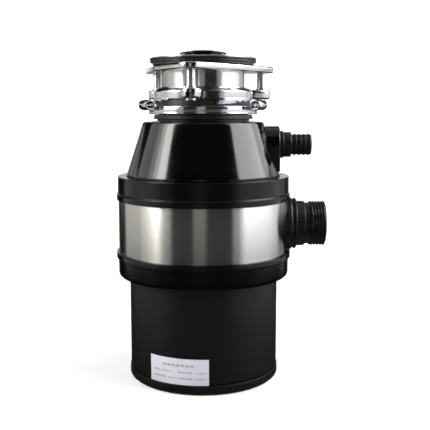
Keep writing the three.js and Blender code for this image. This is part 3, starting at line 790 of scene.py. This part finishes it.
def make_inlet():
    start, end = along("dishwasher_inlet")
    outline = [
        (7.5, start, 0.4), (11, start, 0.4), (11, 81.3), (14.4, 81.3, 0.8), (14.4, 85.2, 0.8),
        (13.2, 85.4, 0.3), (13.2, 93.5, 1.1), (10.5, 93.7, 0.5),
    ]
    for barb in range(4):
        at = 95.6 + 4.9 * barb
        outline += [(10.5, at, 0.3), (11.2, at + 0.6, 0.5), (11.2, at + 3.2, 0.5)]
        outline.append((10.5, at + 3.8, 0.4))
    outline += [(10.5, end, 1.0), (7.5, end, 0.5)]
    spigot = along_x(turned("hose_spigot", outline, 72), INLET_Z)
    dress(spigot, "housing", "moulded_black", "black_gloss", "dishwasher_inlet")
    washer = along_x(ring("inlet_washer", 11.3, 13.2, BOSS_END - 1.5, BOSS_END, 0.3, 72), INLET_Z)
    dress(washer, "housing", "black_rubber", "rubber", "inlet_seal")


# ---- Sink mount --------------------------------------------------------------------------------------

POST_CIRCLE = 67
LUG_CIRCLE = 66
LUG_R = 5.5
LUG_LENGTH = 17
EAR_R = 10  # rounded end of each ear, about its bolt


def make_mounting_gasket():
    low, top = levels("mounting_gasket")
    body = turned("rubber_mount", [
        (43.7, low, 0.6), (46.7, low, 0.6), (46.7, 274.8), (49, 274.8, 0.3), (49, 277, 0.5),
        (52.9, 277.2, 0.8), (52.9, 279.2, 0.5), (52.2, 279.6, 0.3), (52.2, 281.7, 0.6),
        (47.2, 281.7), (47.2, 284.6, 0.4), (50, 284.6, 0.4), (50, top, 0.9), (44.5, top, 0.6),
        (44.5, 283, 2), (13, 274, 0.6), (13, 272, 0.6), (42.4, 279.6, 2), (43.7, 278, 1),
    ])
    slits = [at_azimuth(block("slit", (10, 36), (-0.6, 0.6), (260, 290)), 60 * i) for i in range(6)]
    dress(carve(body, *slits), "housing", "black_rubber", "rubber", "mounting_gasket")


def curl_outline(height):
    """A strap that runs outwards from the ring and rolls up into an open tube, as (radius, height)."""
    outer = LUG_R
    inner = LUG_R - 1.8
    foot = height - LUG_R
    points = [(56.6, foot)]
    turns = [math.radians(-90 + 312 * i / 28) for i in range(29)]
    for radius, angles in ((outer, turns), (inner, reversed(turns))):
        for a in angles:
            points.append((LUG_CIRCLE + radius * math.cos(a), height + radius * math.sin(a)))
    points.append((56.6, foot + 1.8))
    return points


def make_locking_ring():
    low, top = levels("locking_ring")
    wall_top = low + 8.3
    band = turned("band", [
        (47.8, low, 0.5), (55.4, low, 0.5), (58, low + 0.4, 1.0), (57.7, low + 2.2, 1.2),
        (57.9, low + 5, 2), (57.5, wall_top, 0.7), (56.0, wall_top, 0.5), (56.0, low + 2, 0.6),
        (47.8, low + 2, 0.4),
    ], steps=5)
    pieces = [band]
    for azimuth in LUG_AZIMUTHS:
        curl = soften(prism("curl", curl_outline(low + 4 + LUG_R), LUG_LENGTH), 0.35, 2, 50)
        pieces.append(at_azimuth(curl, azimuth))
    dress(gather("lock_ring_band", pieces), "lock_ring", "polished_chrome", "chrome", "locking_ring")


def ear_outline(half_width, start):
    """An ear's plan as (x, y): straight sides from the dome and a round end about the bolt."""
    points = [(start, -half_width)]
    for i in range(25):
        angle = math.radians(-90 + 180 * i / 24)
        points.append((POST_CIRCLE + half_width * math.cos(angle), half_width * math.sin(angle)))
    points.append((start, half_width))
    return points


def make_ear(azimuth, top):
    """A hollow ear, open below, with a window in its outer face and a bush round the bolt."""
    low = top - 10
    ear = soften(plate("ear", ear_outline(EAR_R, 51.4), low, top), 2.2, 4, 50)
    cavity = plate("cavity", ear_outline(EAR_R - 1.8, 53.4), low - 8, top - 1.8)
    window = block("window", (POST_CIRCLE + 6, POST_CIRCLE + 12), (-3.25, 3.25), (low - 8, low + 6))
    carve(ear, cavity, window, rod("inside", 51, low - 8, top - 2.6, 96))
    bush = turned("bush", [
        (4.8, top - 1, 0.2), (5.8, top - 1), (5.8, top + 1.6, 0.6), (4.8, top + 1.6, 0.3),
    ], 40)
    return [at_azimuth(ear, azimuth), at_azimuth(move(bush, POST_CIRCLE), azimuth)]


def make_mounting_flange():
    dome_top = levels("mounting_flange")[1] - 1
    skirt = dome_top - 11
    dome = turned("dome", [
        (44.4, dome_top - 1.8, 0.3), (44.4, dome_top + 1, 0.3), (45.6, dome_top + 1, 0.4),
        (46, dome_top, 0.4), (49.6, dome_top - 0.2, 2.2), (52.3, dome_top - 3.4, 2.2),
        (52.3, skirt, 0.4), (50.8, skirt, 0.4), (50.8, dome_top - 3.6, 1.6),
        (48.8, dome_top - 1.8, 1),
    ], steps=6)
    pieces = [dome]
    for azimuth in POST_AZIMUTHS:
        pieces += make_ear(azimuth, dome_top - 1)
    for azimuth in LUG_AZIMUTHS:
        start, end = azimuth - 44, azimuth + 18
        ramp = sector("ramp", 50.8, 52.3, start, end, skirt - 6.2, skirt + 0.8, 2, slope=4.6)
        pieces.append(soften(ramp, 0.3))
    dress(gather("mount_dome", pieces), "sink_mount", "polished_chrome", "chrome", "mounting_flange")


def make_support_bolts():
    low, top = levels("support_bolt_1")
    for number in (1, 2, 3):
        node = f"support_bolt_{number}"
        spot = centre(node)
        bolt = turned(f"post_{number}", [
            (0, low + 1.2), (2.2, low + 1.2, 0.2), (2.6, low, 0.4), (4.2, low, 0.6),
            (5.3, low + 1.2, 0.8), (5.3, low + 4.3, 0.5), (4.5, low + 4.7), (4.5, top - 4.9, 0.3),
            (2.6, top - 4.9), (2.6, top, 0.4), (0, top),
        ], 48)
        dress(move(bolt, spot.x, spot.y), f"bolt_{number}", "bright_steel", "chrome", node)


def clamp_outline():
    """Three eyes joined to a middle circle by tangents, as (x, y)."""
    middle = 53  # radius of the middle circle
    eye = 13  # radius of each eye
    lean = math.acos((middle - eye) / POST_CIRCLE)
    points = []
    for azimuth in sorted(POST_AZIMUTHS):
        heading = math.radians(azimuth - 90)
        hub = Vector((math.cos(heading), math.sin(heading))) * POST_CIRCLE
        for i in range(13):
            angle = heading - lean + 2 * lean * i / 12
            points.append((hub.x + eye * math.cos(angle), hub.y + eye * math.sin(angle)))
        start = heading + lean
        end = heading + 2 * math.pi / 3 - lean
        for i in range(1, 8):
            angle = start + (end - start) * i / 8
            points.append((middle * math.cos(angle), middle * math.sin(angle)))
    return points


def make_clamp_plate():
    low, top = levels("clamp_plate")
    body = soften(plate("clamp_tray", clamp_outline(), low, top), 1.5, 4, 50)
    hole = rod("hole", 44.5, low - 5, top + 5, SIDES)
    sockets = []
    for azimuth in POST_AZIMUTHS:
        socket = move(rod("socket", 2.9, low - 5, top - 1.4, 32), POST_CIRCLE)
        sockets.append(at_azimuth(socket, azimuth))
    carve(body, hole, *sockets)
    dress(body, "clamp", "polished_chrome", "chrome", "clamp_plate")


def make_sink_flange():
    low, top = levels("sink_flange")
    rim = reach("sink_flange")
    sleeve = turned("sink_sleeve", [
        (42.4, low, 0.4), (44, low, 0.4), (44, 304.4), (43.2, 304.5), (43.2, 307), (44, 307.1),
        (44, 335.4, 2), (46.5, top - 1.2, 1.5), (rim, top - 1.2, 0.25), (rim, top - 0.6, 0.5),
        (55.4, top, 0.6), (48.4, top, 3), (42.4, 335, 3),
    ], steps=5)
    dress(sleeve, "sink_mount", "brushed_sleeve", "chrome", "sink_flange")
    low, top = levels("sink_gasket")
    lip = reach("sink_gasket")
    seal = turned("sink_seal", [
        (46.7, low, 0.4), (53.3, low, 0.5), (53.3, low + 2.2, 0.5), (lip, low + 2.6, 0.5),
        (lip, low + 3.8, 0.5), (lip - 1.6, low + 4.2, 0.2), (lip - 1.6, low + 4.6, 0.2),
        (lip, low + 4.9, 0.4), (lip, top, 0.5), (46.7, top, 0.3),
    ], steps=4)
    dress(seal, "sink_mount", "black_rubber", "rubber", "sink_gasket")
    low, top = levels("snap_ring")
    wire = ring("retaining_wire", 43.5, 46.8, low, top, 0.8)
    carve(wire, at_azimuth(block("gap", (40, 50), (-4, 4), (300, 310)), 180))
    dress(wire, "sink_mount", "bright_steel", "bright_steel", "snap_ring")


def make_stopper():
    low, top = levels("stopper")
    plug = turned("stopper_moulding", [
        (0, low), (12, low, 1.5), (12, 334, 1), (38, 334, 0.5), (41.4, 336.2, 1), (41.4, 338.8, 1),
        (38.4, 340.2, 2), (30, 339.2, 4), (21.5, 340.8, 1.5), (19.4, 342.3, 1), (19.4, 344.4, 0.5),
        (24.8, 344.7, 0.5), (25.2, 345.8, 0.6), (18, top - 0.5, 12), (0, top),
    ], 120, 5)
    dress(plug, "sink_stopper", "gloss_black", "black_gloss", "stopper")
    low, top = levels("stopper_seal")
    seal = turned("stopper_washer", [
        (12.4, low, 0.3), (40.4, low, 0.5), (41.6, low + 1, 0.6), (41.6, top - 0.6, 0.5),
        (40.6, top, 0.4), (12.4, top, 0.3),
    ], 120)
    dress(seal, "sink_stopper", "black_rubber", "rubber", "stopper_seal")


# ---- CAD nodes that keep their own shape -------------------------------------------------------------

KEPT = {
    "bright_steel": [
        "terminal_cover", "terminal_cover_screw", "lower_bearing", "upper_bearing", "rotor_shaft",
        "turntable", "turntable_nut", "impeller_1", "impeller_2", "impeller_pin_1", "impeller_pin_2",
        "shredder_ring",
        *[f"through_bolt_{i}" for i in (1, 2, 3, 4)],
        *[f"hopper_screw_{i}" for i in (1, 2, 3, 4)],
    ],
    "matt_black": ["terminal_block", "overload_protector"],
    "cast_alloy": ["start_capacitor", "lower_end_frame", "upper_end_frame"],
    "laminations": ["stator_core", "rotor_core"],
    "copper_wire": ["winding_bottom", "winding_top"],
    "black_rubber": ["shaft_seal", "chamber_seal", "hopper_seal"],
}


def dress_kept_nodes():
    for material, nodes in KEPT.items():
        for node in nodes:
            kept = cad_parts[node]
            kept.data.materials.clear()
            kept.data.materials.append(MATERIALS[material])
            smooth(kept)


# ---- Floor, light and camera -------------------------------------------------------------------------

FLOOR_REACH = 15000  # the floor runs nearly to the horizon
FLOOR_TOP_Z = -0.3  # just under the base, so that the two faces never meet
FLOOR_THICKNESS = 2
STAGE_SIDES = 96
BACKDROP_GLOW = 1.02  # just past white, for the wall and for the world behind the object


def make_floor():
    """A pale floor that glows a little, more with distance, and that gloss does not reflect."""
    outline = [(0, -FLOOR_THICKNESS), (FLOOR_REACH, -FLOOR_THICKNESS), (FLOOR_REACH, 0), (0, 0)]
    floor = move(turned("floor", outline, STAGE_SIDES), z=FLOOR_TOP_Z)
    recipe = Recipe("pale_floor", (0.86, 0.87, 0.885), 0.7)
    recipe.vary_color(recipe.noise(3, 2), (0.85, 0.86, 0.88))
    length = recipe.node("ShaderNodeVectorMath", operation="LENGTH")
    recipe.link(recipe.place, length.inputs[0])
    glow = recipe.spread(length.outputs["Value"], 0.30, 1.05, 0.2, 1.6)
    recipe.set("Emission Color", (1.0, 1.0, 1.0, 1))
    recipe.link(glow, recipe.shader.inputs["Emission Strength"])
    floor.data.materials.append(recipe.material)
    floor.visible_glossy = False
    floor.visible_shadow = False


def make_wall():
    """A white wall and ceiling a long way off, which only the camera sees."""
    wall = turned("studio_wall", [
        (FLOOR_REACH, -400), (FLOOR_REACH, 9000, 6000), (0, 14000), (0, 14100),
        (FLOOR_REACH + 100, 9100, 6000), (FLOOR_REACH + 100, -400),
    ], STAGE_SIDES)
    recipe = Recipe("white_wall", (1.0, 1.0, 1.0), 0.9)
    recipe.vary_color(recipe.noise(1, 2), (0.99, 0.99, 0.99))
    recipe.set("Emission Color", (1.0, 1.0, 1.0, 1))
    recipe.set("Emission Strength", BACKDROP_GLOW)
    wall.data.materials.append(recipe.material)
    wall.visible_glossy = False
    wall.visible_diffuse = False
    wall.visible_transmission = False
    wall.visible_shadow = False


def panel(name, azimuths, heights, distance, radiance, color):
    """An upright softbox that fills a span of azimuths (degrees from the front, positive towards +X)
    and of heights (metres) at its distance, and gives an even radiance."""
    middle = math.radians(sum(azimuths) / 2)
    half = math.radians((azimuths[1] - azimuths[0]) / 2)
    data = bpy.data.lights.new(name, "AREA")
    data.shape = "RECTANGLE"
    data.size = 2 * distance * math.tan(half)
    data.size_y = heights[1] - heights[0]
    data.energy = radiance * math.pi * data.size * data.size_y
    data.color = color
    light = bpy.data.objects.new(name, data)
    away = Vector((math.sin(middle), -math.cos(middle), 0))
    light.location = away * distance + Vector((0, 0, sum(heights) / 2))
    light.rotation_euler = away.to_track_quat("Z", "Y").to_euler()
    bpy.context.scene.collection.objects.link(light)


COOL = (0.96, 0.965, 1.0)
WARM = (1.0, 0.985, 0.94)
WHITE = (1, 1, 1)
FULL = (-0.12, 0.42)  # from under the floor, which the softboxes' light passes, to the object's top
HIGH = (0.43, 1.6)
MIDDLE = (0.25, 0.45)

# Softboxes: name, azimuths, heights (m), distance (m), radiance, color
PANELS = [
    ("right_edge", (38, 48), FULL, 1.0, 0.5, COOL),
    ("right_low", (48, 118), FULL, 1.0, 1.2, COOL),
    ("right_far", (118, 134), FULL, 1.0, 0.5, COOL),
    ("right_behind", (122, 144), MIDDLE, 1.1, 0.6, COOL),
    ("right_high", (55, 104), HIGH, 1.0, 8.0, COOL),
    ("right_rear", (104, 122), HIGH, 1.0, 4.0, COOL),
    ("left_low", (-86, -57), FULL, 1.0, 1.05, WARM),
    ("left_far", (-122, -86), FULL, 1.0, 0.75, WARM),
    ("left_behind", (-144, -120), MIDDLE, 1.1, 0.6, WARM),
    ("left_key", (-71, -57), HIGH, 1.0, 14.0, WARM),
    ("left_step", (-79, -71), HIGH, 1.0, 7.0, WARM),
    ("left_fall", (-88, -79), HIGH, 1.0, 3.0, WARM),
    ("left_fill", (-112, -88), HIGH, 1.0, 1.4, WARM),
    ("grey_card", (-57, -40), (-0.12, 0.6), 1.0, 0.45, WARM),
    ("front_streak", (-12, 3), (-0.3, 0.2), 1.5, 0.2, WARM),
    ("front_streak_high", (-12, 5), (0.2, 0.8), 1.5, 0.4, WARM),
    ("front_fill", (-40, 45), (-0.4, 0.12), 1.6, 0.12, WHITE),
]


def make_lights():
    for settings in PANELS:
        panel(*settings)


def make_world():
    """A white backdrop behind the object, a dim room in front, and a faint glow above and below."""
    world = bpy.data.worlds.new("studio")
    bpy.context.scene.world = world
    world.use_nodes = True
    tree = world.node_tree
    shade = tree.nodes["Background"]
    shade.inputs["Color"].default_value = (1, 1, 1, 1)
    place = tree.nodes.new("ShaderNodeTexCoord")
    axes = tree.nodes.new("ShaderNodeSeparateXYZ")
    tree.links.new(place.outputs["Generated"], axes.inputs["Vector"])

    def level(axis, start, end, low, high):
        made = tree.nodes.new("ShaderNodeMapRange")
        made.interpolation_type = "SMOOTHSTEP"
        made.inputs["From Min"].default_value = start
        made.inputs["From Max"].default_value = end
        made.inputs["To Min"].default_value = low
        made.inputs["To Max"].default_value = high
        tree.links.new(axes.outputs[axis], made.inputs["Value"])
        return made.outputs["Result"]

    def combined(operation, first, second):
        made = tree.nodes.new("ShaderNodeMath")
        made.operation = operation
        tree.links.new(first, made.inputs[0])
        tree.links.new(second, made.inputs[1])
        return made.outputs["Value"]

    backdrop = level("Y", 0.885, 0.94, 0.015, BACKDROP_GLOW)
    above = level("Z", -0.040, -0.026, 0.25, 1.0)
    below = level("Z", -0.97, -0.75, 0.2, 0.0)
    overhead = level("Z", 0.72, 0.9, 0.0, 0.4)
    behind = combined("MULTIPLY", level("Z", 0.64, 0.76, 0.0, 1.0), level("Y", 0.1, 0.4, 0.0, 0.3))
    glow = combined("ADD", combined("ADD", below, overhead), behind)
    strength = combined("ADD", combined("MULTIPLY", backdrop, above), glow)
    tree.links.new(strength, shade.inputs["Strength"])


CAMERA_PLACE = (0.0125, -0.7895, 0.28734)
CAMERA_PITCH = 8.2  # degrees below level
LENS = 61.45
SENSOR = 36


def make_camera():
    data = bpy.data.cameras.new("camera")
    data.sensor_width = SENSOR
    data.lens = LENS
    camera = bpy.data.objects.new("camera", data)
    camera.location = CAMERA_PLACE
    camera.rotation_euler = (math.radians(90 - CAMERA_PITCH), 0, 0)
    bpy.context.scene.collection.objects.link(camera)
    bpy.context.scene.camera = camera


make_base()
make_reset()
make_reset_spring()
make_can()
make_label()
make_lower_collar()
make_band()
make_upper_collar()
make_drain_chamber()
make_drain_outlet()
make_hopper()
make_inlet()
make_mounting_gasket()
make_locking_ring()
make_mounting_flange()
make_support_bolts()
make_clamp_plate()
make_sink_flange()
make_stopper()
dress_kept_nodes()

make_floor()
make_wall()
make_world()
make_lights()
make_camera()
bpy.context.scene.view_settings.view_transform = "Standard"
